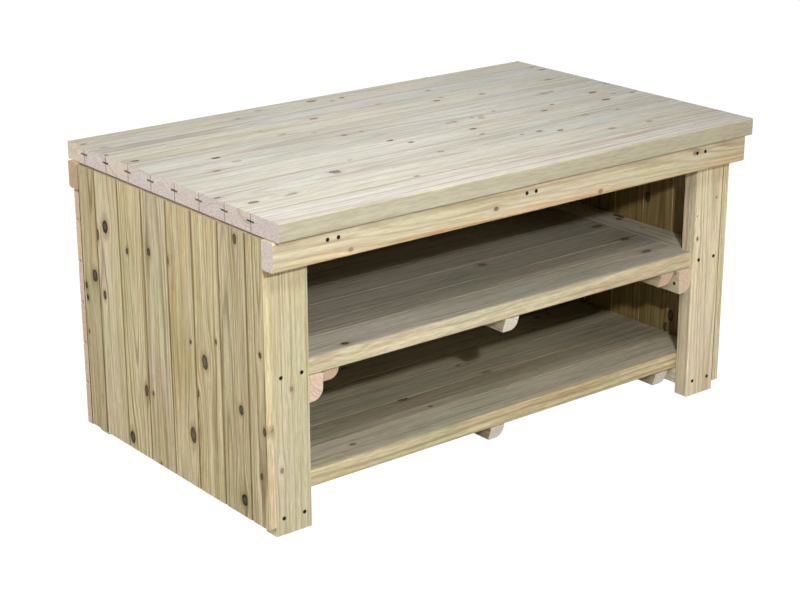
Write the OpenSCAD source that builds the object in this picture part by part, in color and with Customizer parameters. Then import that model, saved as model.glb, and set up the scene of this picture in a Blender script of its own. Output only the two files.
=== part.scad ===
// Potting bench: boarded worktop, clad ends and back, open front, two board shelves.
// Millimetres, +Z up. The origin is at floor level under the middle of the overall box.
// Frame coordinates inside the modules: x = 0 on the outer face of the left cladding,
// y = 0 on the front face of the front legs, z = 0 on the floor.

/* [Overall] */
// Length of the frame over the outer faces of the end cladding
frame_len = 1516; // [1300:1:1900]
// Depth of the end frames over the front and rear legs
frame_depth = 814; // [812:1:830]
// Height of the worktop's top face above the floor
top_height = 776; // [746:1:806]

/* [Worktop] */
// Thickness of the worktop boards
top_t = 45; // [38:1:50]
// Distance from the left cladding's outer face to the worktop's left end
top_inset_left = 7.5; // [0:0.5:40]
// Overhang of the worktop past the right cladding's outer face
top_over_right = 15; // [5:1:40]
// Overhang of the worktop past the front rail
top_over_front = 14; // [0:1:30]
// Overhang of the worktop past the rear rail
top_over_rear = 10; // [0:1:22]
// Cover width of one thick board
board_pitch = 105.25; // [104:0.25:107]
// Width of the front worktop board, which has a planed front edge
top_front_w = 109; // [106:1:112]

/* [Frame timbers] */
// Width of a leg, across the front
leg_w = 102; // [90:1:110]
// Thickness of a leg, front to back
leg_t = 45; // [40:1:50]
// Height of the front and rear top rails
rail_h = 70; // [65:1:80]
// Thickness of the front and rear top rails
rail_t = 45; // [40:1:50]
// Length of the front and rear top rails past the right cladding's outer face
rail_over_right = 4; // [0:1:5]
// Width of a cross-bearer under the worktop
cross_w = 70; // [60:1:75]
// Thickness of a side rail
side_rail_t = 45; // [40:1:50]

/* [Cladding] */
// Thickness of the end and back cladding boards
clad_t = 22; // [18:1:25]
// Cover width of a cladding board
clad_pitch = 111; // [108:1:114]
// Width of the front board of each end, ripped to fit
clad_front_w = 67; // [60:1:80]
// Gap between the end cladding's upper edge and the worktop's underside
clad_top_gap = 3; // [0:0.5:6]
// Height of the end cladding's lower edge above the floor
clad_floor_gap = 24; // [10:1:40]
// Height of the back cladding's lower edge above the floor
back_floor_gap = 21; // [10:1:40]

/* [Shelves] */
// Height of the middle shelf's top face
mid_top = 417; // [380:1:480]
// Thickness of the middle shelf's boards
mid_t = 44; // [36:1:50]
// Set-back of the middle shelf behind the legs' front faces
mid_setback = 12; // [4:1:30]
// Height of the lower shelf's top face
low_top = 117; // [110:1:125]
// Thickness of the lower shelf's boards
low_t = 45; // [36:1:45]
// Width of a shelf batten
batten_w = 45; // [38:1:50]
// Depth of a shelf batten below the boards
batten_h = 38; // [30:1:44]
// Height of a middle shelf bearer
bearer_h = 66; // [60:1:75]
// Thickness of a middle shelf bearer
bearer_t = 45; // [38:1:50]

/* [Fasteners] */
// Diameter of a wood screw's shank
screw_d = 5; // [4:0.5:6]
// Diameter of a wood screw's head, and of the recess above it
head_d = 9; // [8:0.5:10]
// Depth of the recess above a screw's head
recess = 5; // [3:1:8]

/* [Hidden] */
$fn = 32;

top_boards = 9;
clad_boards = 8;
back_boards = 6;
worktop_names = [for (i = [1:top_boards]) str("worktop_board_", i)];
left_names = [for (i = [1:clad_boards]) str("left_cladding_", i)];
right_names = [for (i = [1:clad_boards]) str("right_cladding_", i)];
back_names = [for (i = [1:back_boards]) str("back_board_", i)];
leg_names = ["front_left_leg", "front_right_leg", "rear_left_leg", "rear_right_leg"];
cross_names = ["left_cross_bearer", "middle_cross_bearer", "right_cross_bearer"];
side_rail_names = [for (side = ["left", "right"], level = ["top", "middle", "bottom"])
    str(side, "_", level, "_side_rail")];

// Where the frame coordinates lie in the part's own frame
overall_len = frame_len + top_over_right;
top_depth = top_over_front + rail_t + frame_depth + rail_t + top_over_rear;
left_x = -overall_len / 2;
front_y = -top_depth / 2 + top_over_front + rail_t;

// Heights and faces that several pieces share
frame_top = top_height - top_t;
rail_top = frame_top - 1.5;
rail_bottom = rail_top - rail_h;
leg_left = clad_t;
leg_right = frame_len - clad_t - leg_w;
leg_rear = frame_depth - leg_t;
open_left = clad_t + leg_w;
open_right = frame_len - open_left;
mid_under = mid_top - mid_t;
low_under = low_top - low_t;
side_rail_z = [frame_top - side_rail_t, mid_under - 3, low_under - side_rail_t];

// Rounding of the long edges
arris = 4;
rail_arris = 6;
top_arris = 3;
batten_round = 20;
bearer_round = 30;

// Joints between the thick boards: a groove in both edges holds one loose tongue,
// with a fine open line between neighbours and a small bevel on their upper edges
groove_depth = 14;
groove_t = 5;
groove_under_face = 21.5;
tongue_w = 27;
tongue_end_gap = 8;
top_joint_gap = 0.8;
top_bevel = 0.6;
shelf_joint_gap = 0.3;
shelf_bevel = 1.5;

// Joints between the cladding boards
clad_tongue = 8;
clad_groove = 9;
clad_tongue_t = 7;
clad_v = 3;
clad_face_gap = 1.2;
clad_inner_gap = 1.5;

// Worktop boards: the front one is planed, the rear one is what is left of the depth
top_y0 = -rail_t - top_over_front;
top_len = frame_len - top_inset_left + top_over_right;
function top_edge(i) = i == 0 ? top_y0
    : i == top_boards ? top_y0 + top_depth
    : top_y0 + top_front_w + (i - 1) * board_pitch;

// Shelf panels: widths of their boards from the front, one ripped board in each,
// and the gap at each of the panel's ends
shelf_fit_gap = 1;
mid_widths = [108, 78, board_pitch, board_pitch, board_pitch, board_pitch, board_pitch];
low_widths = [105, board_pitch, board_pitch, 74, board_pitch, board_pitch, board_pitch];
low_setback = leg_t + 2;
function sum_to(list, n) = n == 0 ? 0 : list[n - 1] + sum_to(list, n - 1);

// Battens under the shelf panels
mid_batten_x = [open_left + 83, frame_len / 2 - 3, open_right - 84];
low_batten_x = [open_left + 27, frame_len / 2 - 14, open_right - 51];
mid_batten_front = [28, mid_setback, mid_setback];
low_batten_front = [72, low_setback, low_setback];
batten_bevel = 12;
batten_len = 690;

// Cross-bearers and the gap that keeps the end ones off the legs
cross_gap = 4;
cross_x = [open_left + cross_gap, (frame_len - cross_w) / 2, open_right - cross_gap - cross_w];
cross_t = 45;
bearer_front = [10, 5];
bearer_rear_gap = 8;

// Cladding edges across the depth of an end, and up the height of the back
function clad_edge(i) = i == 0 ? 0 : i == clad_boards ? frame_depth
    : clad_front_w + (i - 1) * clad_pitch;
function back_edge(i) = i == back_boards ? rail_bottom : back_floor_gap + i * clad_pitch;

// Screws
frame_screw_len = 100;
bearer_screw_len = 75;
top_screw_len = 62;
shelf_screw_len = 60;
head_t = 4;
cross_screw_gap = 30;
cross_screw_z = rail_top - 19.5;
leg_screw_gap = 58;
leg_screw_z = [frame_top - 23, mid_under + 19, 42];
nail_d = 2.5;
nail_len = 42;
nail_start = 3.2;

treated = "#d8cfa4";
cladding_tint = "#c3b083";
sawn_tint = "#d9c3b0";
steel = "#6f6a5c";

// ---- Shared helpers ----

// Moves frame coordinates to the part's own frame
module in_frame() {
    translate([left_x, front_y, 0]) children();
}

// Points of a quarter circle of radius r about [cx, cy], starting at angle a0
function quarter(cx, cy, r, a0, steps) =
    [for (s = [0:steps]) [cx + r * cos(a0 + 90 * s / steps), cy + r * sin(a0 + 90 * s / steps)]];

// A rectangle from [0, 0] to [w, h] with its own radius at each corner,
// in the order lower left, lower right, upper right, upper left
function rounded(w, h, r) = concat(
    r[0] > 0 ? quarter(r[0], r[0], r[0], 180, 6) : [[0, 0]],
    r[1] > 0 ? quarter(w - r[1], r[1], r[1], 270, 6) : [[w, 0]],
    r[2] > 0 ? quarter(w - r[2], h - r[2], r[2], 0, 6) : [[w, h]],
    r[3] > 0 ? quarter(r[3], h - r[3], r[3], 90, 6) : [[0, h]]);

// Extrudes a (y, z) outline along x
module along_x(len) {
    rotate([90, 0, 90]) linear_extrude(len) children();
}

// Extrudes an (x, z) outline along y, from y = 0 backwards
module along_y(len) {
    translate([0, len, 0]) rotate([90, 0, 0]) linear_extrude(len) children();
}

// A countersunk wood screw along +Z with its head's face at z = 0
module screw(len) {
    cylinder(h = head_t, d1 = head_d, d2 = screw_d);
    translate([0, 0, head_t - 0.5]) cylinder(h = len - head_t + 0.5, d = screw_d);
}

// What a screw takes out of the timber: the screw itself and the recess above its head
module screw_cut(len) {
    screw(len);
    translate([0, 0, -recess - 1]) cylinder(h = recess + 1.01, d = head_d);
}

// ---- Fastener positions, each a child drawn with +Z along the screw ----

// Through the front and rear rails into the ends of the cross-bearers
module at_cross_screws() {
    for (x = cross_x, side = [-1, 1]) {
        sx = x + cross_w / 2 + side * cross_screw_gap / 2;
        translate([sx, -rail_t + recess, cross_screw_z]) rotate([-90, 0, 0]) children();
        translate([sx, frame_depth + rail_t - recess, cross_screw_z]) rotate([90, 0, 0]) children();
    }
}

// Through the legs into the ends of the side rails
module at_leg_screws() {
    for (x = [leg_left, leg_right], z = leg_screw_z, side = [-1, 1]) {
        sx = x + leg_w / 2 + side * leg_screw_gap / 2;
        translate([sx, recess, z]) rotate([-90, 0, 0]) children();
        translate([sx, frame_depth - recess, z]) rotate([90, 0, 0]) children();
    }
}

// Through the middle shelf bearers into the legs
module at_bearer_screws() {
    for (y = [leg_t / 2, frame_depth - leg_t / 2], z = [mid_under - 13, mid_under - 39]) {
        translate([open_left + bearer_t - recess, y, z]) rotate([0, -90, 0]) children();
        translate([open_right - bearer_t + recess, y, z]) rotate([0, 90, 0]) children();
    }
}

// Up through the cross-bearers into each worktop board
module at_worktop_screws() {
    for (x = cross_x, i = [0:top_boards - 1])
        translate([x + cross_w / 2, worktop_screw_y(i), frame_top - cross_t + recess]) children();
}
function worktop_screw_y(i) = i == 0 ? 30 : i == top_boards - 1 ? frame_depth - 12
    : (top_edge(i) + top_edge(i + 1)) / 2;

// Up through the battens into each shelf board
module at_shelf_screws() {
    for (n = [0:len(mid_widths) - 1]) {
        for (x = mid_batten_x)
            translate([x, shelf_screw_y(mid_widths, mid_setback, n), mid_under - batten_h + recess])
                children();
        for (x = low_batten_x)
            translate([x, shelf_screw_y(low_widths, low_setback, n), low_under - batten_h + recess])
                children();
    }
}
function shelf_screw_y(widths, setback, n) = n == 0 ? setback + 58
    : setback + sum_to(widths, n) + (n == len(widths) - 1 ? 30 : widths[n] / 2);

// Slanting through the root of each cladding tongue into what is behind it
module at_side_nails() {
    for (i = [1:clad_boards - 1], z = side_rail_z) {
        y = clad_edge(i) - nail_start;
        translate([clad_v + nail_start + 3, y, z + side_rail_t / 2]) rotate([90, 0, 45]) children();
        translate([frame_len - clad_v - nail_start - 3, y, z + side_rail_t / 2])
            rotate([90, 0, -45]) children();
    }
}
module at_back_nails() {
    for (x = [leg_left + leg_w / 2, leg_right + leg_w / 2], i = [1:back_boards - 1])
        translate([x, frame_depth + clad_t - clad_v - nail_start - 3, back_edge(i) - nail_start])
            rotate([135, 0, 0]) children();
}

// ---- Worktop ----

// Outline of a thick board (width, height): grooved and bevelled edges where it meets
// a neighbour, a rounded arris on the free edges
function thick_board(w, t, joint_low, joint_high, free_r, bevel) =
    let (g0 = t - groove_under_face, g1 = g0 + groove_t)
    concat(
        joint_low ? [[0, 0]] : quarter(arris, arris, arris, 180, 4),
        joint_high ? [[w, 0], [w, g0], [w - groove_depth, g0], [w - groove_depth, g1], [w, g1],
                      [w, t - bevel], [w - bevel, t]]
                   : concat(quarter(w - arris, arris, arris, 270, 4),
                            quarter(w - free_r, t - free_r, free_r, 0, 5)),
        joint_low ? [[bevel, t], [0, t - bevel], [0, g1], [groove_depth, g1],
                     [groove_depth, g0], [0, g0]]
                  : quarter(free_r, t - free_r, free_r, 90, 5));

module worktop_board(i) {
    y = top_edge(i);
    last = i == top_boards - 1;
    w = top_edge(i + 1) - y - (last ? 0 : top_joint_gap);
    color(treated) in_frame() difference() {
        translate([top_inset_left, y, frame_top])
            along_x(top_len)
            polygon(thick_board(w, top_t, i > 0, !last, top_arris, top_bevel));
        for (x = cross_x)
            translate([x + cross_w / 2, worktop_screw_y(i), frame_top - cross_t + recess])
                screw(top_screw_len);
    }
}

module worktop_tongues() {
    color(cladding_tint) in_frame()
    for (i = [1:top_boards - 1])
        translate([top_inset_left + tongue_end_gap, top_edge(i) - tongue_w / 2,
                   top_height - groove_under_face])
            cube([top_len - 2 * tongue_end_gap, tongue_w, groove_t]);
}

// ---- Frame ----

module top_rail(y) {
    color(treated) in_frame() difference() {
        translate([0, y, rail_bottom])
            along_x(frame_len + rail_over_right)
            polygon(rounded(rail_t, rail_h, [1, 1, 1, 1] * rail_arris));
        at_cross_screws() screw_cut(frame_screw_len);
    }
}

module leg(x, y) {
    color(treated) in_frame() difference() {
        translate([x, y, 0])
            linear_extrude(frame_top) polygon(rounded(leg_w, leg_t, [1, 1, 1, 1] * arris));
        at_leg_screws() screw_cut(frame_screw_len);
        at_bearer_screws() screw(bearer_screw_len);
        at_side_nails() nail();
        at_back_nails() nail();
    }
}

module cross_bearer(x) {
    color(treated) in_frame() difference() {
        translate([x, 0, frame_top - cross_t])
            along_y(frame_depth) polygon(rounded(cross_w, cross_t, [1, 1, 1, 1] * arris));
        at_cross_screws() screw(frame_screw_len);
        at_worktop_screws() screw_cut(top_screw_len);
    }
}

// Side rails lie flat between the front and rear legs, directly behind the cladding
module side_rail(x, z) {
    color(treated) in_frame() difference() {
        translate([x, leg_t, z])
            along_y(frame_depth - 2 * leg_t)
            polygon(rounded(leg_w, side_rail_t, [1, 1, 1, 1] * arris));
        at_leg_screws() screw(frame_screw_len);
        at_side_nails() nail();
    }
}

// ---- Cladding ----

// Outline of a tongue-and-groove board: (across the board, through its thickness from the
// outer face). A tongued edge stops short on the face, which leaves a dark line in the V
function clad_outline(w, groove, tongue) =
    let (t0 = (clad_t - clad_tongue_t) / 2, t1 = (clad_t + clad_tongue_t) / 2,
         face_w = tongue ? w - clad_face_gap : w)
    concat(
        groove ? [[clad_v, 0]] : [[1, 0]],
        [[face_w - clad_v, 0], [face_w, clad_v]],
        tongue ? [[face_w, t0], [w + clad_tongue, t0], [w + clad_tongue, t1], [w, t1]] : [],
        [[w, clad_t]],
        groove ? [[clad_inner_gap, clad_t], [clad_inner_gap, t1], [clad_groove, t1],
                  [clad_groove, t0], [0, t0], [0, clad_v]]
               : [[0, clad_t], [0, 1]]);

// An upright board of an end, with its outer face on x = 0 and looking towards -X
module upright_board(i) {
    w = clad_edge(i + 1) - clad_edge(i);
    translate([0, clad_edge(i), clad_floor_gap])
        linear_extrude(frame_top - clad_top_gap - clad_floor_gap)
        polygon([for (p = clad_outline(w, i > 0, i < clad_boards - 1)) [p[1], p[0]]]);
}

module left_cladding(i) {
    color(cladding_tint) in_frame() difference() {
        upright_board(i);
        at_side_nails() nail();
    }
}

module right_cladding(i) {
    color(cladding_tint) in_frame() difference() {
        translate([frame_len, 0, 0]) mirror([1, 0, 0]) upright_board(i);
        at_side_nails() nail();
    }
}

// A level board of the back, under the rear top rail
module back_board(i) {
    w = back_edge(i + 1) - back_edge(i);
    color(cladding_tint) in_frame() difference() {
        translate([0, frame_depth + clad_t, back_edge(i)])
            along_x(frame_len)
            polygon([for (p = clad_outline(w, i > 0, i < back_boards - 1)) [-p[1], p[0]]]);
        at_back_nails() nail();
    }
}

// ---- Shelves ----

// The boards of one shelf panel, side by side from the front
module panel_boards(widths, x0, x1, setback, under, t) {
    last = len(widths) - 1;
    for (n = [0:last])
        translate([x0, setback + sum_to(widths, n), under])
            along_x(x1 - x0)
            polygon(thick_board(widths[n] - shelf_joint_gap, t, n > 0, n < last, arris, shelf_bevel));
}

module mid_shelf_boards() {
    color(treated) in_frame() difference() {
        panel_boards(mid_widths, open_left + shelf_fit_gap, open_right - shelf_fit_gap,
                     mid_setback, mid_under, mid_t);
        at_shelf_screws() screw(shelf_screw_len);
    }
}

module lower_shelf_boards() {
    color(treated) in_frame() difference() {
        panel_boards(low_widths, clad_t + shelf_fit_gap, frame_len - clad_t - shelf_fit_gap,
                     low_setback, low_under, low_t);
        at_shelf_screws() screw(shelf_screw_len);
    }
}

module panel_tongues(widths, x0, x1, setback, under, t) {
    for (n = [1:len(widths) - 1])
        translate([x0 + tongue_end_gap, setback + sum_to(widths, n) - tongue_w / 2,
                   under + t - groove_under_face])
            cube([x1 - x0 - 2 * tongue_end_gap, tongue_w, groove_t]);
}

module shelf_tongues() {
    color(cladding_tint) in_frame() {
        panel_tongues(mid_widths, open_left, open_right, mid_setback, mid_under, mid_t);
        panel_tongues(low_widths, clad_t, frame_len - clad_t, low_setback, low_under, low_t);
    }
}

// A batten along y with its front end cut back below and its lower right edge rounded
module batten(x, front, under) {
    translate([x - batten_w / 2, front, under - batten_h]) difference() {
        along_y(batten_len) polygon(rounded(batten_w, batten_h, [2, batten_round, 0, 0]));
        translate([-1, 0, 0]) along_x(batten_w + 2)
            polygon([[-1, -1], [batten_bevel, -1], [batten_bevel, 0], [0, batten_h], [-1, batten_h]]);
    }
}

module mid_shelf_battens() {
    color(sawn_tint) in_frame() difference() {
        for (n = [0:2]) batten(mid_batten_x[n], mid_batten_front[n], mid_under);
        at_shelf_screws() screw_cut(shelf_screw_len);
    }
}

module lower_shelf_battens() {
    color(sawn_tint) in_frame() difference() {
        for (n = [0:2]) batten(low_batten_x[n], low_batten_front[n], low_under);
        at_shelf_screws() screw_cut(shelf_screw_len);
    }
}

// Bearers on the legs' inner faces carry the middle shelf
module shelf_bearer(right) {
    front = bearer_front[right ? 1 : 0];
    color(sawn_tint) in_frame() difference() {
        translate([right ? open_right - bearer_t : open_left, front, mid_under - bearer_h])
            along_y(frame_depth - front - bearer_rear_gap)
            polygon(rounded(bearer_t, bearer_h, [arris, bearer_round, arris, arris]));
        at_bearer_screws() screw_cut(bearer_screw_len);
    }
}

// ---- Fasteners ----

module nail() {
    cylinder(h = nail_len, d = nail_d);
}

module frame_screws() {
    color(steel) in_frame() {
        at_cross_screws() screw(frame_screw_len);
        at_leg_screws() screw(frame_screw_len);
    }
}

module bearer_screws() {
    color(steel) in_frame() at_bearer_screws() screw(bearer_screw_len);
}

module worktop_screws() {
    color(steel) in_frame() at_worktop_screws() screw(top_screw_len);
}

module shelf_screws() {
    color(steel) in_frame() at_shelf_screws() screw(shelf_screw_len);
}

module cladding_nails() {
    color(steel) in_frame() {
        at_side_nails() nail();
        at_back_nails() nail();
    }
}

// ---- Nodes ----

for (i = [0:top_boards - 1])
    worktop_board(i);
worktop_tongues();
top_rail(-rail_t);  // front_top_rail
top_rail(frame_depth);  // rear_top_rail
for (i = [0:3])
    leg(i % 2 == 0 ? leg_left : leg_right, i < 2 ? 0 : leg_rear);
for (i = [0:2])
    cross_bearer(cross_x[i]);
for (i = [0:5])
    side_rail(i < 3 ? leg_left : leg_right, side_rail_z[i % 3]);
for (i = [0:clad_boards - 1])
    left_cladding(i);
for (i = [0:clad_boards - 1])
    right_cladding(i);
for (i = [0:back_boards - 1])
    back_board(i);
mid_shelf_boards();
lower_shelf_boards();
shelf_tongues();
shelf_bearer(false);  // left_shelf_bearer
shelf_bearer(true);  // right_shelf_bearer
mid_shelf_battens();
lower_shelf_battens();
frame_screws();
bearer_screws();
worktop_screws();
shelf_screws();
cladding_nails();
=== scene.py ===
"""Looks of the potting bench, built around its packed CAD frame. Metres, +Z up.

The CAD nodes keep their shapes. This script gives every board its own solid timber material,
with growth rings about a pith, knots, end grain and treatment stain, and sets floor, light and camera.
"""

import math
import random

import bpy
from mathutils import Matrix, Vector


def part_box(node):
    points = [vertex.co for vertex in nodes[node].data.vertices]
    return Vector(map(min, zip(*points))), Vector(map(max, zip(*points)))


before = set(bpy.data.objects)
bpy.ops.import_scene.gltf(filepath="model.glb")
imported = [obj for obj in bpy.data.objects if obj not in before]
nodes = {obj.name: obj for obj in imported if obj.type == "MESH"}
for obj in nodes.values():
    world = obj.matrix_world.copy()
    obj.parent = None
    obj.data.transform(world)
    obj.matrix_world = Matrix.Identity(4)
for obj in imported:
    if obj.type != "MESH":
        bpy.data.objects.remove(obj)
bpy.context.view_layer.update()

MM = 0.001

# Frame coordinates, as in the CAD file: x from the left cladding's outer face,
# y from the front legs' front faces, z from the floor, here in metres
FRAME_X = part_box("left_cladding_1")[0].x
FRAME_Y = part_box("front_left_leg")[0].y


# ---- Wiring ----

class Wires:
    """Short calls that add nodes to a node tree and return their output sockets."""

    def __init__(self, tree):
        self.tree = tree

    def node(self, kind, **settings):
        made = self.tree.nodes.new(kind)
        for name, value in settings.items():
            setattr(made, name, value)
        return made

    def feed(self, socket, value):
        if isinstance(value, bpy.types.NodeSocket):
            self.tree.links.new(value, socket)
        else:
            socket.default_value = value

    def math(self, operation, *values, clamp=False):
        made = self.node("ShaderNodeMath", operation=operation, use_clamp=clamp)
        for socket, value in zip(made.inputs, values):
            self.feed(socket, value)
        return made.outputs[0]

    def swing(self, noise, reach):
        """A noise turned into a shift of up to half of reach either way."""
        return self.math("MULTIPLY", self.math("SUBTRACT", noise, 0.5), reach)

    def total(self, *values):
        result = values[0]
        for value in values[1:]:
            result = self.math("ADD", result, value)
        return result

    def join(self, x, y, z):
        made = self.node("ShaderNodeCombineXYZ")
        for socket, value in zip(made.inputs, (x, y, z)):
            self.feed(socket, value)
        return made.outputs[0]

    def split(self, vector):
        made = self.node("ShaderNodeSeparateXYZ")
        self.feed(made.inputs[0], vector)
        return made.outputs

    def length(self, x, y, z=0.0):
        made = self.node("ShaderNodeVectorMath", operation="LENGTH")
        self.feed(made.inputs[0], self.join(x, y, z))
        return made.outputs["Value"]

    def mix(self, amount, low, high, blend="MIX"):
        made = self.node("ShaderNodeMix", data_type="RGBA", blend_type=blend)
        self.feed(made.inputs[0], amount)
        self.feed(made.inputs[6], low)
        self.feed(made.inputs[7], high)
        return made.outputs[2]

    def noise(self, vector, scale=1.0, detail=2.0, rough=0.5):
        made = self.node("ShaderNodeTexNoise")
        self.feed(made.inputs["Vector"], vector)
        made.inputs["Scale"].default_value = scale
        made.inputs["Detail"].default_value = detail
        made.inputs["Roughness"].default_value = rough
        return made.outputs[0]

    def ramp_to(self, value, low, high, out_low=0.0, out_high=1.0):
        """out_low where value is under low, out_high over high, and a smooth step between."""
        made = self.node("ShaderNodeMapRange", interpolation_type="SMOOTHSTEP")
        for socket, number in zip(made.inputs, (value, low, high, out_low, out_high)):
            self.feed(socket, number)
        return made.outputs[0]

    def curve(self, value, points):
        """A piecewise grey ramp through (position, level) points."""
        made = self.node("ShaderNodeValToRGB")
        ramp = made.color_ramp
        while len(ramp.elements) < len(points):
            ramp.elements.new(0.5)
        for element, (position, level) in zip(ramp.elements, points):
            element.position = position
            element.color = (level, level, level, 1.0)
        self.feed(made.inputs[0], value)
        return made.outputs[0]


def group(name, inputs, outputs):
    """An empty node group with those sockets; returns it, its wires and its input node's outputs."""
    tree = bpy.data.node_groups.new(name, "ShaderNodeTree")
    for label in inputs:
        kind = "NodeSocketVector" if label == "Place" else "NodeSocketFloat"
        tree.interface.new_socket(label, in_out="INPUT", socket_type=kind)
    for label in outputs:
        tree.interface.new_socket(label, in_out="OUTPUT", socket_type="NodeSocketFloat")
    wires = Wires(tree)
    source = wires.node("NodeGroupInput").outputs
    return tree, wires, source


def group_outputs(wires, values):
    sink = wires.node("NodeGroupOutput")
    for socket, value in zip(sink.inputs, values):
        wires.feed(socket, value)


# ---- Timber's inner structure ----
# Place is always (along the board, across it, through it) in metres.

KNOT_PULL = 0.92              # how much of the distance to a knot the grain around it gives up
KNOT_FADE = 0.12              # how fast that fades with distance
KNOT_REACH = 0.6              # below 1, the bend reaches further along the grain than across it

# Noises of the growth, in cycles per metre
PITH_DRIFT = (1.6, 1.1)       # along the board, for the pith's two directions
RIPPLE = (6.0, 14.0)          # along the board, and across and through it
RING_WIDTHS = (60.0, 0.6)     # out from the pith, and along the board
BANDS = (85.0, 0.9)           # out from the pith, and along the board
STREAK_ALONG = 3.0
BLOTCH = (2.2, 7.0)           # along the board, and across and through it
FIBRE_ALONG = 26.0
FIBRE_FINER = 2.6             # how much finer fibres are than streaks

RIPPLE_DEPTH = 0.005          # how far the ripples shift the rings, m
RING_SHIFT = 3.0              # how many rings wide the uneven growth shifts them
LATE_WOOD = ((0.0, 0.45), (0.14, 0.0), (0.58, 0.06), (0.85, 1.0), (1.0, 0.45))   # across one ring
DRIFT_PART = 7.3              # these three only keep one noise apart from another
RING_PART = 3.1
BLOTCH_PART = 5.0


def make_knot_group():
    """One knot: bends the grain around it, and keeps the distance to the nearest knot in radii."""
    tree, w, given = group("Knot", ["Place", "Bend", "Near", "Dark", "Along", "Across", "Radius",
                                    "Stretch", "Strength"], ["Bend", "Near", "Dark"])
    along, across, _ = w.split(given["Place"])
    off_along = w.math("DIVIDE", w.math("SUBTRACT", along, given["Along"]), given["Stretch"])
    off_across = w.math("SUBTRACT", across, given["Across"])
    near = w.math("DIVIDE", w.length(off_along, off_across), given["Radius"])
    reach = w.math("DIVIDE", w.length(w.math("MULTIPLY", off_along, KNOT_REACH), off_across),
                   given["Radius"])
    pull = w.math("EXPONENT", w.math("MULTIPLY", w.math("POWER", reach, 2.0), -KNOT_FADE))
    bend = w.math("MULTIPLY", w.math("MULTIPLY", off_across, pull), -KNOT_PULL)
    closer = w.math("LESS_THAN", near, given["Near"])
    dark = w.total(w.math("MULTIPLY", closer, given["Strength"]),
                   w.math("MULTIPLY", w.math("SUBTRACT", 1.0, closer), given["Dark"]))
    group_outputs(w, (w.math("ADD", given["Bend"], bend), w.math("MINIMUM", near, given["Near"]), dark))
    return tree


def make_growth_group():
    """Growth rings about a wandering pith: late wood lines, bands of several rings, streaks, blotches."""
    tree, w, given = group("Growth", ["Place", "Pith across", "Pith through", "Lean", "Ring", "Grain",
                                      "Wander", "Seed"], ["Late", "Band", "Streak", "Blotch"])
    along, across, through = w.split(given["Place"])
    seed = given["Seed"]
    drift_across = w.noise(w.join(w.math("MULTIPLY", along, PITH_DRIFT[0]), seed, 0.0), detail=1.0)
    drift_through = w.noise(w.join(w.math("MULTIPLY", along, PITH_DRIFT[1]), DRIFT_PART, seed),
                            detail=1.0)
    ripple = w.noise(w.join(w.total(w.math("MULTIPLY", along, RIPPLE[0]), seed),
                            w.math("MULTIPLY", across, RIPPLE[1]),
                            w.math("MULTIPLY", through, RIPPLE[1])))
    pith_across = w.total(across, w.math("MULTIPLY", given["Pith across"], -1.0),
                          w.swing(drift_across, given["Wander"]), w.swing(ripple, RIPPLE_DEPTH))
    pith_through = w.total(through, w.math("MULTIPLY", given["Pith through"], -1.0),
                           w.swing(drift_through, given["Wander"]),
                           w.math("MULTIPLY", along, given["Lean"]))
    radius = w.length(pith_across, pith_through)

    def around_pith(scales, detail, rough=0.5):
        return w.noise(w.join(w.math("MULTIPLY", radius, scales[0]), seed,
                              w.math("MULTIPLY", along, scales[1])), detail=detail, rough=rough)

    uneven = around_pith(RING_WIDTHS, 1.0)
    phase = w.math("ADD", w.math("DIVIDE", radius, given["Ring"]), w.math("MULTIPLY", uneven, RING_SHIFT))
    late = w.curve(w.math("FRACT", phase), LATE_WOOD)
    strength = w.noise(w.join(w.math("FLOOR", phase), seed, RING_PART), detail=0.0)
    late = w.math("MULTIPLY", late, w.ramp_to(strength, 0.3, 0.65, 0.15, 1.25))
    band = around_pith(BANDS, 2.0, 0.6)

    def lengthwise(stretch, wide, part):
        return w.noise(w.join(w.total(w.math("MULTIPLY", along, stretch), seed, part),
                              w.math("MULTIPLY", across, wide), w.math("MULTIPLY", through, wide)),
                       detail=2.0, rough=0.6)

    streak = lengthwise(STREAK_ALONG, given["Grain"], 0.0)
    blotch = lengthwise(BLOTCH[0], BLOTCH[1], BLOTCH_PART)
    group_outputs(w, (late, band, streak, blotch))
    return tree


def make_fibre_group():
    """Fine fibres along the board, the same everywhere in it."""
    tree, w, given = group("Fibre", ["Place", "Grain"], ["Fibre"])
    along, across, through = w.split(given["Place"])
    fine = w.math("MULTIPLY", given["Grain"], FIBRE_FINER)
    stretched = w.join(w.math("MULTIPLY", along, FIBRE_ALONG), w.math("MULTIPLY", across, fine),
                       w.math("MULTIPLY", through, fine))
    group_outputs(w, (w.noise(stretched, detail=2.0, rough=0.6),))
    return tree


KNOT = make_knot_group()
GROWTH = make_growth_group()
FIBRE = make_fibre_group()


# ---- Timber material ----

AXES = {"x": 0, "y": 1, "z": 2}


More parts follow.
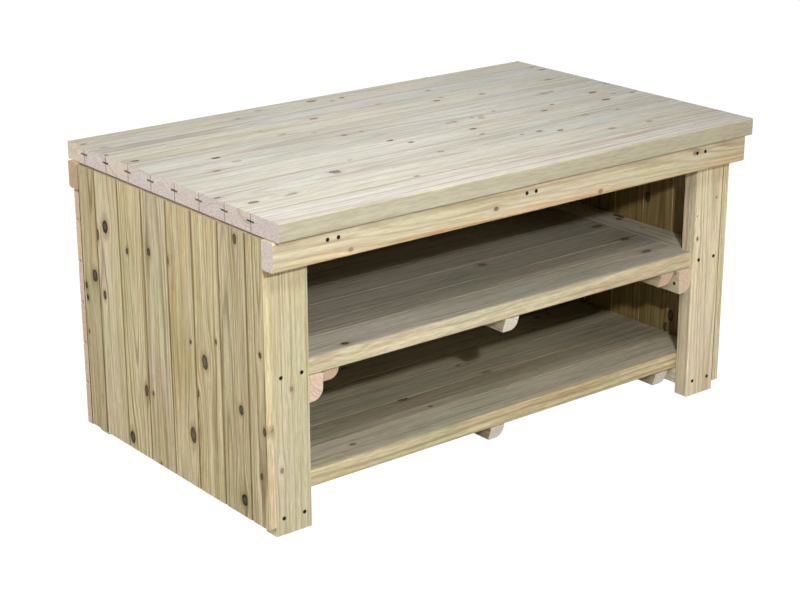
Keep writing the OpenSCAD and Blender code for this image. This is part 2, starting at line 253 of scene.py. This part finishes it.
class Timber:
    """What one kind of timber looks like. Colours are linear, and the tints multiply them."""

    def __init__(self, pale, dark, **given):
        self.pale = pale
        self.dark = dark
        self.ring = 0.0055                    # growth ring width, m
        self.rings = 0.6                      # strength of the late wood lines
        self.grain = 120.0                    # streaks per metre across the board
        self.band = (0.86, 0.76, 0.60)        # tint of bands of rings
        self.streak = (0.78, 0.68, 0.54)      # tint of the fine brown streaks
        self.green = (0.88, 0.94, 0.84)       # tint of the treatment's blotches
        self.gleam = 0.10                     # how much paler the palest streaks are
        self.fibre = 0.10                     # depth of the finest lines
        self.fleck = 0.25                     # strength of short dark flecks
        self.wander = 0.02                    # how far the pith strays, m
        self.end = (0.77, 0.67, 0.60)         # sawn end
        self.outer_end = None                 # sawn end of the pieces away from the middle
        self.edge = (1.0, 1.0, 1.0)           # painted light and shade: tint of the board's narrow faces, paler above 1, darker below 1
        self.edge_rings = 1.0                 # how much of the ring pattern they show
        self.arris_highlight_and_joint = (1.06, 1.05, 1.02)       # tint of the planed corners: painted highlight above 1, dark joints below 1
        self.inside = (1.0, 1.0, 1.0)         # painted shade: tint of the face that looks into the bench
        self.low_edge = None                  # tint of the low side, and how far up it goes
        self.seam = 0.0                       # width of the dark joint line along one edge, m
        self.uneven = 0.06                    # how much the tone differs from board to board
        self.heart = (0.20, 0.11, 0.08)       # a knot's middle
        self.rim = (0.07, 0.035, 0.025)       # the dark line around it
        self.halo = (0.50, 0.36, 0.25)        # the stained wood around the line
        self.knots = (2.5, 5.0)               # fewest and most knots per metre of the board
        self.knot_size = (4.0, 12.0)          # smallest and largest radius, mm
        self.knot_stretch = (1.1, 1.6)        # how much longer along the grain
        self.knot_strength = (0.5, 1.0)       # 0 is unseen, 1 is black-rimmed
        self.rough = 0.72                     # mean roughness
        for name, value in given.items():
            setattr(self, name, value)


def colour(rgb, level=1.0):
    return (rgb[0] * level, rgb[1] * level, rgb[2] * level, 1.0)


class Places:
    """Where a shaded point lies in its board, measured from the board's middle, and what it faces."""

    def __init__(self, w, along, across, box):
        through = ({"x", "y", "z"} - {along, across}).pop()
        self.w = w
        self.axes = {"along": AXES[along], "across": AXES[across], "through": AXES[through]}
        self.middle = (box[0] + box[1]) / 2
        self.half_width = (box[1] - self.middle)[AXES[across]]
        coords = w.node("ShaderNodeTexCoord")
        xyz = w.split(coords.outputs["Object"])
        self.normal = w.split(coords.outputs["Normal"])
        self.along, self.across, self.through = [w.math("SUBTRACT", xyz[axis], self.middle[axis])
                                                 for axis in self.axes.values()]
        self.whole = w.join(self.along, self.across, self.through)

    def from_middle(self, way, place):
        """A row-frame coordinate along one of the board's ways, as a distance from its middle."""
        return place - self.middle[self.axes[way]]

    def facing(self, way, low=0.55, high=0.85):
        """1 on faces that look along that way of the board, 0 on the others."""
        return self.w.ramp_to(self.w.math("ABSOLUTE", self.normal[self.axes[way]]), low, high)

    def square(self):
        """1 on the board's flat faces, 0 on its rounded corners."""
        along, across, through = [self.facing(way, 0.90, 0.98) for way in self.axes]
        return self.w.math("MAXIMUM", along, self.w.math("MAXIMUM", across, through))

    def looking(self, axis, sign):
        """1 on faces that look along the row's axis in that direction, 0 on the others."""
        return self.w.ramp_to(self.w.math("MULTIPLY", self.normal[AXES[axis]], float(sign)), 0.5, 0.9)


# Levels of each noise between which its tint comes in
BAND_LEVELS = (0.46, 0.68)
STREAK_LEVELS = (0.50, 0.70)
GREEN_LEVELS = (0.42, 0.66)
FLECK_LEVELS = (0.62, 0.72)
GLEAM_LEVELS = (0.30, 0.46)
LINE_LEVELS = (0.32, 0.68)

END_RINGS = (0.66, 0.60, 0.55)        # tint of late wood in a sawn end
END_SPECKS = (0.80, 0.74, 0.70)
SEAM_TINT = (0.42, 0.36, 0.33)
# Painted shade in the screw recesses
RECESS_SHADE = (0.035, 0.028, 0.022)
RECESS_RADII = (0.0047, 0.0054)       # painted shade, fully dark within the first, m
NO_KNOT_NEAR = 9.0                    # in knot radii
LOW_EDGE_WAVE = 0.05                  # how unevenly the low side's tint ends, m
BUMP_STRENGTH = 0.5
BUMP_DEPTH = 0.0006                   # m


def chain_knots(w, places, knots):
    """All of a board's knots: the bend of the grain, the nearest one's distance, its strength."""
    bend, near, dark = 0.0, NO_KNOT_NEAR, 0.0
    for knot_along, knot_across, radius, stretch, strength in knots:
        made = w.node("ShaderNodeGroup", node_tree=KNOT)
        for label, value in (("Place", places.whole), ("Bend", bend), ("Near", near), ("Dark", dark),
                             ("Along", places.from_middle("along", knot_along)),
                             ("Across", places.from_middle("across", knot_across)),
                             ("Radius", radius), ("Stretch", stretch), ("Strength", strength)):
            w.feed(made.inputs[label], value)
        bend, near, dark = [made.outputs[label] for label in ("Bend", "Near", "Dark")]
    return bend, near, dark


def split_at_joints(w, places, joints, seed, tone, rng):
    """Boards side by side in one node: each gets its own centre line, growth and tone."""
    edges = [places.from_middle("across", edge) for edge in joints]
    local = w.math("SUBTRACT", places.across, (edges[0] + edges[1]) / 2)
    shift = 0.0
    for k in range(1, len(edges) - 1):
        step = w.math("GREATER_THAN", places.across, edges[k])
        centre_step = (edges[k + 1] - edges[k - 1]) / 2
        local = w.math("SUBTRACT", local, w.math("MULTIPLY", step, centre_step))
        seed = w.math("ADD", seed, w.math("MULTIPLY", step, rng.uniform(4.0, 9.0)))
        shift = w.math("ADD", shift, w.math("MULTIPLY", step, rng.uniform(-0.03, 0.03)))
        tone = w.math("ADD", tone, w.math("MULTIPLY", step, rng.uniform(-0.10, 0.10)))
    return local, shift, seed, tone


def add_growth(w, kind, place, seed, rng):
    """Late wood, bands, streaks and blotches about a pith of the board's own."""
    made = w.node("ShaderNodeGroup", node_tree=GROWTH)
    for label, value in (("Place", place),
                         ("Pith across", rng.uniform(-0.035, 0.035)),
                         ("Pith through", rng.choice((-1, 1)) * rng.uniform(0.02, 0.08)),
                         ("Lean", rng.choice((-1, 1)) * rng.uniform(0.004, 0.02)),
                         ("Ring", kind.ring * rng.uniform(0.8, 1.25)),
                         ("Grain", kind.grain * rng.uniform(0.8, 1.2)),
                         ("Wander", kind.wander), ("Seed", seed)):
        w.feed(made.inputs[label], value)
    return made.outputs


def add_fibre(w, kind, places):
    made = w.node("ShaderNodeGroup", node_tree=FIBRE)
    w.feed(made.inputs["Place"], places.whole)
    made.inputs["Grain"].default_value = kind.grain
    return made.outputs["Fibre"]


def long_grain_tint(w, kind, places, side, growth, fibre):
    """The board's long faces: rings, bands and streaks, the treatment's stain, flecks, low edge, and the
    narrow faces' painted light and shade.
    """
    late, band, streak, blotch = growth
    rings = w.math("MULTIPLY", late, w.ramp_to(side, 0.0, 1.0, kind.rings, kind.rings * kind.edge_rings))
    lines = w.ramp_to(side, 0.0, 1.0, 1.0, kind.edge_rings)
    tint = w.mix(rings, colour(kind.pale), colour(kind.dark))
    for level, levels, stain in ((band, BAND_LEVELS, kind.band), (streak, STREAK_LEVELS, kind.streak)):
        tint = w.mix(w.math("MULTIPLY", w.ramp_to(level, *levels), lines), tint, colour(stain), "MULTIPLY")
    tint = w.mix(w.ramp_to(blotch, *GREEN_LEVELS), tint, colour(kind.green), "MULTIPLY")
    tint = w.mix(w.ramp_to(fibre, *FLECK_LEVELS, 0.0, kind.fleck), tint, colour(kind.dark))
    # Painted light and shade: the kind's edge tint makes the narrow faces paler where it is above 1 and
    # darker where it is below 1
    tint = w.mix(side, tint, colour(kind.edge), "MULTIPLY")
    if kind.low_edge is not None:
        warm_tint, height = kind.low_edge
        rise = w.math("ADD", places.across, w.swing(blotch, LOW_EDGE_WAVE))
        warm = w.ramp_to(rise, -places.half_width, height - places.half_width, 1.0, 0.0)
        tint = w.mix(warm, tint, colour(warm_tint), "MULTIPLY")
    return tint


def add_knots(w, tint, kind, near, dark, whole):
    """The tint with knots painted over it: a halo, concentric rings, a heart and a dark rim."""
    wobble = w.noise(whole, scale=70.0, detail=2.0)
    spread = w.math("ADD", near, w.swing(wobble, 0.7))
    halo = w.math("MULTIPLY", w.ramp_to(spread, 0.95, 2.6, 0.6, 0.0), dark)
    tint = w.mix(halo, tint, colour(kind.halo))
    rings = w.math("MULTIPLY", w.math("SINE", w.math("MULTIPLY", spread, 20.0)), 0.12)
    heart = w.mix(w.math("ADD", rings, 0.12, clamp=True), colour(kind.heart), colour(kind.halo))
    rim = w.math("MULTIPLY", w.ramp_to(spread, 0.45, 0.75), w.ramp_to(spread, 0.98, 1.15, 1.0, 0.0))
    heart = w.mix(rim, heart, colour(kind.rim))
    core = w.math("MULTIPLY", w.ramp_to(spread, 0.92, 1.18, 1.0, 0.0), dark)
    return w.mix(core, tint, heart)


def end_grain_tint(w, kind, places, late):
    """A sawn end: its colour, its rings and fine specks."""
    end = colour(kind.end)
    if kind.outer_end is not None:
        end = w.mix(w.ramp_to(w.math("ABSOLUTE", places.across), 0.1, 0.2), end, colour(kind.outer_end))
    ringed = w.mix(1.0, end, colour(END_RINGS), "MULTIPLY")
    end = w.mix(w.math("MULTIPLY", late, 0.55), end, ringed)
    specks = w.ramp_to(w.noise(places.whole, scale=260.0, detail=3.0), 0.4, 0.65, 0.0, 0.3)
    return w.mix(specks, end, colour(END_SPECKS), "MULTIPLY")


def add_recess_shade(w, tint, places, holes):
    """The tint with painted shade in the recesses above screw heads."""
    for hole_along, hole_across in holes:
        away = w.length(w.math("SUBTRACT", places.along, places.from_middle("along", hole_along)),
                        w.math("SUBTRACT", places.across, places.from_middle("across", hole_across)))
        tint = w.mix(w.ramp_to(away, *RECESS_RADII, 1.0, 0.0), tint, colour(RECESS_SHADE))
    return tint


def add_seam(w, tint, kind, places, side):
    """The tint with a dark joint line along the board's far long edge, but not on its side."""
    seam = w.ramp_to(places.across, places.half_width - kind.seam, places.half_width - 0.4 * kind.seam)
    seam = w.math("MULTIPLY", seam, w.math("SUBTRACT", 1.0, side))
    return w.mix(seam, tint, colour(SEAM_TINT), "MULTIPLY")


def board_colour(w, kind, tint, hue, tone, streak, fibre):
    """The tint with the board's own hue and tone, fine lines and pale gleams."""
    lines = w.ramp_to(fibre, *LINE_LEVELS, 1.0 - kind.fibre, 1.0 + kind.fibre)
    gleam = w.ramp_to(streak, *GLEAM_LEVELS, 1.0 + kind.gleam, 1.0)
    grey = w.math("MULTIPLY", w.math("MULTIPLY", lines, gleam), tone)
    warm, cool = 1.0 + 0.02 * hue, 1.0 - 0.07 * hue
    tone_tint = w.join(w.math("MULTIPLY", grey, warm), grey, w.math("MULTIPLY", grey, cool))
    return w.mix(1.0, tint, tone_tint, "MULTIPLY")


def timber_material(name, kind, along, across, box, knots, holes, joints, tone, inside, rng):
    """A solid timber for one board, or for boards side by side that are split at joints.

    along and across are "x", "y" or "z"; box is the board's (low, high) corners; knots are
    (along, across, radius, stretch, strength) in metres in the row frame; holes are the
    (along, across) of screw recesses, painted dark as shade; the face that looks into the
    bench along the given (axis, sign) is darkened as painted shade, and None leaves all faces as they are.
    """
    material = bpy.data.materials.new(name)
    material.use_nodes = True
    w = Wires(material.node_tree)
    material.node_tree.nodes.clear()
    sink = w.node("ShaderNodeOutputMaterial")
    shader = w.node("ShaderNodeBsdfPrincipled")
    w.feed(sink.inputs[0], shader.outputs[0])

    places = Places(w, along, across, box)
    bend, near, dark = chain_knots(w, places, knots)
    seed = rng.uniform(0.0, 40.0)
    local, shift = places.across, 0.0
    if joints:
        local, shift, seed, tone = split_at_joints(w, places, joints, seed, tone, rng)
    place = w.join(places.along, w.total(local, bend, shift), places.through)
    growth = add_growth(w, kind, place, seed, rng)
    late, _, streak, _ = growth
    fibre = add_fibre(w, kind, places)
    hue = rng.uniform(-1.0, 1.0)

    side = places.facing("across")
    tint = long_grain_tint(w, kind, places, side, growth, fibre)
    # Painted shade on the face that looks into the bench
    if inside is not None:
        tint = w.mix(places.looking(*inside), tint, colour(kind.inside), "MULTIPLY")
    # The rounded corners take the corner tint: a painted highlight where it is above 1, dark joints where it
    # is below 1
    tint = w.mix(w.math("SUBTRACT", 1.0, places.square()), tint, colour(kind.arris_highlight_and_joint), "MULTIPLY")
    if knots:
        tint = add_knots(w, tint, kind, near, dark, places.whole)
    tint = w.mix(places.facing("along"), tint, end_grain_tint(w, kind, places, late))
    # Painted shade in the screw recesses
    tint = add_recess_shade(w, tint, places, holes)
    if kind.seam > 0:
        tint = add_seam(w, tint, kind, places, side)
    w.feed(shader.inputs["Base Color"], board_colour(w, kind, tint, hue, tone, streak, fibre))

    roughness = w.math("ADD", w.ramp_to(fibre, 0.3, 0.7, kind.rough - 0.06, kind.rough + 0.06),
                       w.math("MULTIPLY", late, -0.08))
    w.feed(shader.inputs["Roughness"], roughness)
    shader.inputs["Specular IOR Level"].default_value = 0.3

    bump = w.node("ShaderNodeBump")
    bump.inputs["Strength"].default_value = BUMP_STRENGTH
    bump.inputs["Distance"].default_value = BUMP_DEPTH
    w.feed(bump.inputs["Height"], fibre)
    w.feed(shader.inputs["Normal"], bump.outputs[0])
    return material


# ---- Kinds of timber ----

# The worktop's underside is darkened as painted shade.
WORKTOP = Timber(pale=(0.60, 0.58, 0.50), dark=(0.36, 0.285, 0.215), ring=0.0075, rings=0.5, grain=95.0,
                 band=(0.92, 0.88, 0.83), streak=(0.83, 0.78, 0.72), green=(0.91, 0.94, 0.92), fibre=0.10,
                 wander=0.03, heart=(0.14, 0.075, 0.055), rim=(0.055, 0.028, 0.022), halo=(0.46, 0.35, 0.28),
                 inside=(0.62, 0.48, 0.34), seam=0.0026, uneven=0.02, fleck=0.6,
                 knots=(4.0, 7.0), knot_size=(3.0, 7.0), knot_stretch=(1.5, 2.2),
                 knot_strength=(0.35, 1.0))
# The slab's front board: its corner tint is a painted highlight on the front arris, its narrow-face tint
# darkens and yellows the worktop's front face as painted shade, and its underside is painted shade.
SLAB_FRONT = Timber(pale=(0.62, 0.585, 0.51), dark=(0.40, 0.30, 0.21), ring=0.0085, rings=0.6, grain=80.0,
                    band=(0.93, 0.88, 0.81), streak=(0.85, 0.79, 0.71), green=(0.95, 0.96, 0.94),
                    edge=(0.89, 0.87, 0.71), edge_rings=0.3, arris_highlight_and_joint=(1.08, 1.07, 1.02), fibre=0.09,
                    inside=(0.62, 0.48, 0.34), seam=0.0026, knots=(0.0, 0.0))
LAST_BOARD = Timber(**{**vars(WORKTOP), "seam": 0.0})
TONGUE = Timber(**{**vars(WORKTOP), "end": (0.46, 0.37, 0.32), "seam": 0.0})
RAIL = Timber(pale=(0.72, 0.63, 0.44), dark=(0.45, 0.32, 0.17), ring=0.0060, rings=0.7, grain=130.0,
              band=(0.94, 0.88, 0.77), streak=(0.84, 0.75, 0.62), green=(0.94, 0.97, 0.90),
              low_edge=((1.02, 0.86, 0.72), 0.026), end=(0.78, 0.67, 0.58), fibre=0.09,
              knots=(2.5, 4.0), knot_size=(4.0, 6.0), knot_strength=(0.4, 0.9))
REAR_RAIL = Timber(**{**vars(RAIL), "end": (0.62, 0.45, 0.30)})
LEG_PALE = Timber(pale=(0.72, 0.66, 0.49), dark=(0.46, 0.37, 0.23), ring=0.0048, rings=0.5, grain=220.0,
                  band=(0.95, 0.90, 0.81), streak=(0.84, 0.77, 0.65), green=(0.94, 0.97, 0.91),
                  wander=0.008, fibre=0.14, knots=(2.5, 4.0), knot_size=(2.0, 5.0))
# The right leg's narrow-face tint darkens its side faces: painted shade.
LEG_WARM = Timber(pale=(0.94, 0.84, 0.65), dark=(0.58, 0.45, 0.30), ring=0.0048, rings=0.5, grain=210.0,
                  band=(0.95, 0.90, 0.82), streak=(0.85, 0.77, 0.67), green=(0.95, 0.97, 0.92),
                  edge=(0.84, 0.83, 0.80), wander=0.008, fibre=0.13, knots=(2.5, 4.0),
                  knot_size=(2.0, 4.0))
# Cladding: the darker sawn end is painted shade on the top ends under the worktop, the face into the bench
# is darkened as painted shade, the narrow-face tint is painted light, and the corner tint marks dark
# V-joints.
CLADDING = Timber(pale=(0.70, 0.60, 0.40), dark=(0.33, 0.25, 0.13), ring=0.0052, rings=0.75, grain=190.0,
                  band=(0.90, 0.84, 0.73), streak=(0.72, 0.63, 0.50), green=(0.90, 0.94, 0.86),
                  inside=(0.60, 0.52, 0.35), edge_rings=0.45,
                  heart=(0.055, 0.045, 0.032), rim=(0.016, 0.012, 0.009),
                  halo=(0.30, 0.22, 0.11), end=(0.45, 0.36, 0.24), edge=(1.3, 1.3, 1.35),
                  arris_highlight_and_joint=(0.50, 0.44, 0.31), wander=0.014, gleam=0.18, fibre=0.15,
                  knots=(3.0, 6.5), knot_size=(3.0, 12.0), knot_stretch=(1.3, 1.9),
                  knot_strength=(0.8, 1.0))
# Back boards: the face into the bench is darkened further as painted shade; their ends keep a plain sawn
# colour.
BACK = Timber(**{**vars(CLADDING), "inside": (0.42, 0.28, 0.14), "end": (0.76, 0.58, 0.44), "seam": 0.007})
# Shelves: pale and dark are set below the worktop's, as painted shade on boards under the worktop; the
# narrow-face tint is painted light on their front edges, and the corner tint marks dark joints.
SHELF = Timber(pale=(0.545, 0.505, 0.41), dark=(0.30, 0.24, 0.165), ring=0.0075, rings=0.5, grain=110.0,
               band=(0.91, 0.86, 0.80), streak=(0.80, 0.74, 0.66), green=(0.88, 0.94, 0.91),
               edge=(1.46, 1.38, 1.14), arris_highlight_and_joint=(0.80, 0.78, 0.74), heart=(0.10, 0.06, 0.04),
               rim=(0.035, 0.022, 0.015), halo=(0.32, 0.23, 0.15), fibre=0.13,
               knots=(7.0, 10.0), knot_size=(3.0, 9.0), knot_stretch=(1.3, 2.2),
               knot_strength=(0.35, 1.0))
# Side rails keep the shelves' painted shade in the dark colour and painted light on the narrow faces, with a
# paler pale colour.
SIDE_RAIL = Timber(**{**vars(SHELF), "pale": (0.70, 0.68, 0.60)})
SAWN = Timber(pale=(0.72, 0.62, 0.46), dark=(0.46, 0.34, 0.20), ring=0.0070, rings=0.6,
              green=(0.92, 0.94, 0.84), end=(0.88, 0.68, 0.50))
# The battens' sawn ends are painted paler than the bearers': painted light on ends that face the front
# lamps. Of the middle shelf's battens only the middle one keeps it; the outer ones get a plainer sawn end.
BATTEN = Timber(**{**vars(SAWN), "end": (0.98, 0.90, 0.79)})
MID_BATTEN = Timber(**{**vars(BATTEN), "outer_end": (0.88, 0.64, 0.46)})


# ---- Single boards ----

# Recesses above screw heads where the timber is painted dark as shade, as (along the board, across it)
# in frame coordinates in millimetres. The rear pieces have the same. The shelf bearers' upper screws
# get no painted shade, only their modelled recess.
SCREW_HOLES = {
    "front_top_rail": [(148, 710), (178, 710), (743, 710), (773, 710), (1338, 710), (1368, 710)],
    "front_left_leg": [(392, 44), (392, 102), (42, 44), (42, 102)],
    "front_right_leg": [(392, 1414), (392, 1472), (42, 1414), (42, 1472)],
    "left_shelf_bearer": [(22.5, 334), (791.5, 334)],
    "right_shelf_bearer": [(22.5, 334), (791.5, 334)],
}

# Boards that are clearly paler or darker than their neighbours
BOARD_TONES = {"left_cladding_8": 0.86, "left_cladding_7": 1.06, "left_cladding_6": 1.03,
               "left_cladding_5": 1.0, "left_cladding_4": 0.98, "left_cladding_3": 1.03,
               "left_cladding_2": 0.96, "left_cladding_1": 0.98}

# Widths of the shelves' boards from the front, in metres
COVER = 0.10525
MID_WIDTHS = (0.108, 0.078, COVER, COVER, COVER, COVER, COVER)
LOW_WIDTHS = (0.105, COVER, COVER, 0.074, COVER, COVER, COVER)


def dress(name, material):
    """Makes this the node's only material."""
    nodes[name].data.materials.clear()
    nodes[name].data.materials.append(material)


def row_place(axis, value_mm):
    """A frame coordinate in millimetres as a row-frame coordinate in metres."""
    return value_mm * MM + {"x": FRAME_X, "y": FRAME_Y, "z": 0.0}[axis]


def random_knots(name, kind, along, across, low, high):
    """Seeded random knots of a board, within the ranges of its kind of timber."""
    rng = random.Random(name + "_knots")
    span_along = (low[AXES[along]], high[AXES[along]])
    span_across = (low[AXES[across]], high[AXES[across]])
    count = round((span_along[1] - span_along[0]) * rng.uniform(*kind.knots))
    return [(rng.uniform(*span_along), rng.uniform(*span_across), rng.uniform(*kind.knot_size) * MM,
             rng.uniform(*kind.knot_stretch), rng.uniform(*kind.knot_strength)) for _ in range(count)]


def board(name, kind, along, across, joints=(), inside=None):
    """Gives a CAD node its own timber, seeded by its name."""
    rng = random.Random(name)
    low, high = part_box(name)
    knots = random_knots(name, kind, along, across, low, high)
    holes = [(row_place(along, place_a), row_place(across, place_c))
             for place_a, place_c in SCREW_HOLES.get(name.replace("rear", "front"), ())]
    tone = BOARD_TONES.get(name, rng.uniform(1.0 - kind.uneven, 1.0 + kind.uneven))
    material = timber_material(name + "_timber", kind, along, across, (low, high), knots, holes,
                               joints, tone, inside, rng)
    dress(name, material)


def joints_from(name, widths):
    """The edges of boards side by side, from the node's front."""
    edges = [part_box(name)[0].y]
    for width in widths:
        edges.append(edges[-1] + width)
    return edges


def dress_worktop():
    board("worktop_board_1", SLAB_FRONT, "x", "y", inside=("z", -1))
    for n in range(2, 9):
        board(f"worktop_board_{n}", WORKTOP, "x", "y", inside=("z", -1))
    board("worktop_board_9", LAST_BOARD, "x", "y", inside=("z", -1))


def dress_frame():
    board("front_top_rail", RAIL, "x", "z")
    board("rear_top_rail", REAR_RAIL, "x", "z")
    for end in ("front", "rear"):
        board(f"{end}_left_leg", LEG_PALE, "z", "x")
        board(f"{end}_right_leg", LEG_WARM, "z", "x")
    for side in ("left", "middle", "right"):
        board(f"{side}_cross_bearer", SAWN, "y", "x")
    for side in ("left", "right"):
        for level in ("top", "middle", "bottom"):
            board(f"{side}_{level}_side_rail", SIDE_RAIL, "y", "x")
        board(f"{side}_shelf_bearer", SAWN, "y", "z")


def dress_cladding():
    for side, inward in (("left", 1), ("right", -1)):
        for n in range(1, 9):
            board(f"{side}_cladding_{n}", CLADDING, "z", "y", inside=("x", inward))
    for n in range(1, 7):
        board(f"back_board_{n}", BACK, "x", "z", inside=("y", -1))


def dress_shelves():
    board("mid_shelf_boards", SHELF, "x", "y", joints_from("mid_shelf_boards", MID_WIDTHS))
    board("lower_shelf_boards", SHELF, "x", "y", joints_from("lower_shelf_boards", LOW_WIDTHS))
    board("mid_shelf_battens", MID_BATTEN, "y", "x")
    board("lower_shelf_battens", BATTEN, "y", "x")
    for name in ("worktop_tongues", "shelf_tongues"):
        board(name, TONGUE, "x", "y")


# ---- Metal ----

def metal_material(name, base, rough, metallic=1.0):
    """Steel with fine spots of half its brightness and more roughness."""
    material = bpy.data.materials.new(name)
    material.use_nodes = True
    w = Wires(material.node_tree)
    shader = material.node_tree.nodes["Principled BSDF"]
    coords = w.node("ShaderNodeTexCoord")
    spots = w.noise(coords.outputs["Object"], scale=900.0, detail=3.0)
    w.feed(shader.inputs["Base Color"], w.mix(w.ramp_to(spots, 0.4, 0.65), colour(base), colour(base, 0.5)))
    w.feed(shader.inputs["Roughness"], w.ramp_to(spots, 0.3, 0.7, rough, rough + 0.2))
    shader.inputs["Metallic"].default_value = metallic
    return material


def dress_fasteners():
    screw_steel = metal_material("screw_steel", (0.030, 0.026, 0.022), 0.75, 0.3)
    nail_steel = metal_material("nail_steel", (0.45, 0.45, 0.44), 0.4)
    for name in ("frame_screws", "bearer_screws", "worktop_screws", "shelf_screws"):
        dress(name, screw_steel)
    dress("cladding_nails", nail_steel)


# ---- Floor, light and camera ----

WHITE = (1.0, 1.0, 1.0)
FLOOR_SIZE = 60.0             # m
FLOOR_PAINT = (0.50, 0.50, 0.48)
FLOOR_GLOW = 1.1
FLOOR_GLOW_SHARE = 0.94       # how much of what the camera sees of the floor is its glow
FOCAL_LENGTH = 83.743         # mm, on a sensor 36 mm wide
CAMERA_PLACE = (-2.940, -3.633, 1.948)
CAMERA_ANGLES = (70.686, 0.123, -38.488)      # degrees


def make_floor():
    """A pale floor. Its glow shows to the camera only, so it doesn't light the bench."""
    mesh = bpy.data.meshes.new("floor")
    half = FLOOR_SIZE / 2
    mesh.from_pydata([(-half, -half, 0), (half, -half, 0), (half, half, 0), (-half, half, 0)], [],
                     [(0, 1, 2, 3)])
    floor = bpy.data.objects.new("floor", mesh)
    bpy.context.scene.collection.objects.link(floor)
    material = bpy.data.materials.new("floor_paint")
    material.use_nodes = True
    w = Wires(material.node_tree)
    material.node_tree.nodes.clear()
    paint = w.node("ShaderNodeBsdfDiffuse")
    paint.inputs["Color"].default_value = colour(FLOOR_PAINT)
    glow = w.node("ShaderNodeEmission")
    glow.inputs["Color"].default_value = colour(WHITE)
    glow.inputs["Strength"].default_value = FLOOR_GLOW
    blend = w.node("ShaderNodeMixShader")
    seen = w.math("MULTIPLY", w.node("ShaderNodeLightPath").outputs["Is Camera Ray"], FLOOR_GLOW_SHARE)
    for socket, value in zip(blend.inputs, (seen, paint.outputs[0], glow.outputs[0])):
        w.feed(socket, value)
    w.feed(w.node("ShaderNodeOutputMaterial").inputs[0], blend.outputs[0])
    mesh.materials.append(material)


def area_light(name, place, height, size, power, tint=WHITE):
    """A round lamp, size metres wide, that points at the bench's middle at that height."""
    lamp = bpy.data.lights.new(name, "AREA")
    lamp.shape = "DISK"
    lamp.size = size
    lamp.energy = power
    lamp.color = tint
    light = bpy.data.objects.new(name, lamp)
    light.location = place
    aim = Vector((0.0, 0.0, height)) - Vector(place)
    light.rotation_euler = aim.to_track_quat("-Z", "Y").to_euler()
    light.visible_camera = False
    bpy.context.scene.collection.objects.link(light)


def make_world(horizon, zenith, power):
    """A soft sky that brightens from the horizon to the zenith."""
    world = bpy.data.worlds.new("studio")
    world.use_nodes = True
    w = Wires(world.node_tree)
    rise = w.split(w.node("ShaderNodeTexCoord").outputs["Generated"])[2]
    rise = w.math("POWER", w.math("MAXIMUM", rise, 0.0), power)
    level = w.math("MULTIPLY_ADD", rise, zenith - horizon, horizon)
    w.feed(world.node_tree.nodes["Background"].inputs["Strength"], level)
    world.node_tree.nodes["Background"].inputs["Color"].default_value = colour(WHITE)
    bpy.context.scene.world = world


def make_lights():
    """A small key lamp for crisp shadows within the bench, and large soft lamps for the rest."""
    area_light("key", (-1.15, -2.615, 1.84), 0.4, size=0.12, power=40.0)
    area_light("front", (-1.10, -2.20, 3.20), 0.4, size=0.8, power=38.0)
    area_light("overhead", (-0.42, -0.55, 2.60), 0.6, size=1.2, power=22.0)
    area_light("side", (-3.50, 0.60, 1.50), 0.5, size=1.6, power=54.0)
    area_light("right_fill", (1.60, -2.40, 1.00), 0.5, size=1.2, power=9.0, tint=(1.0, 0.90, 0.68))
    area_light("rear", (2.20, 3.00, 1.80), 0.5, size=2.0, power=45.0)


def make_camera():
    lens = bpy.data.cameras.new("camera")
    lens.lens = FOCAL_LENGTH
    lens.sensor_width = 36.0
    camera = bpy.data.objects.new("camera", lens)
    camera.location = CAMERA_PLACE
    camera.rotation_euler = [math.radians(angle) for angle in CAMERA_ANGLES]
    bpy.context.scene.collection.objects.link(camera)
    bpy.context.scene.camera = camera


dress_worktop()
dress_frame()
dress_cladding()
dress_shelves()
dress_fasteners()
make_floor()
make_world(horizon=0.01, zenith=0.05, power=2.0)
make_lights()
make_camera()
bpy.context.scene.view_settings.view_transform = "Standard"
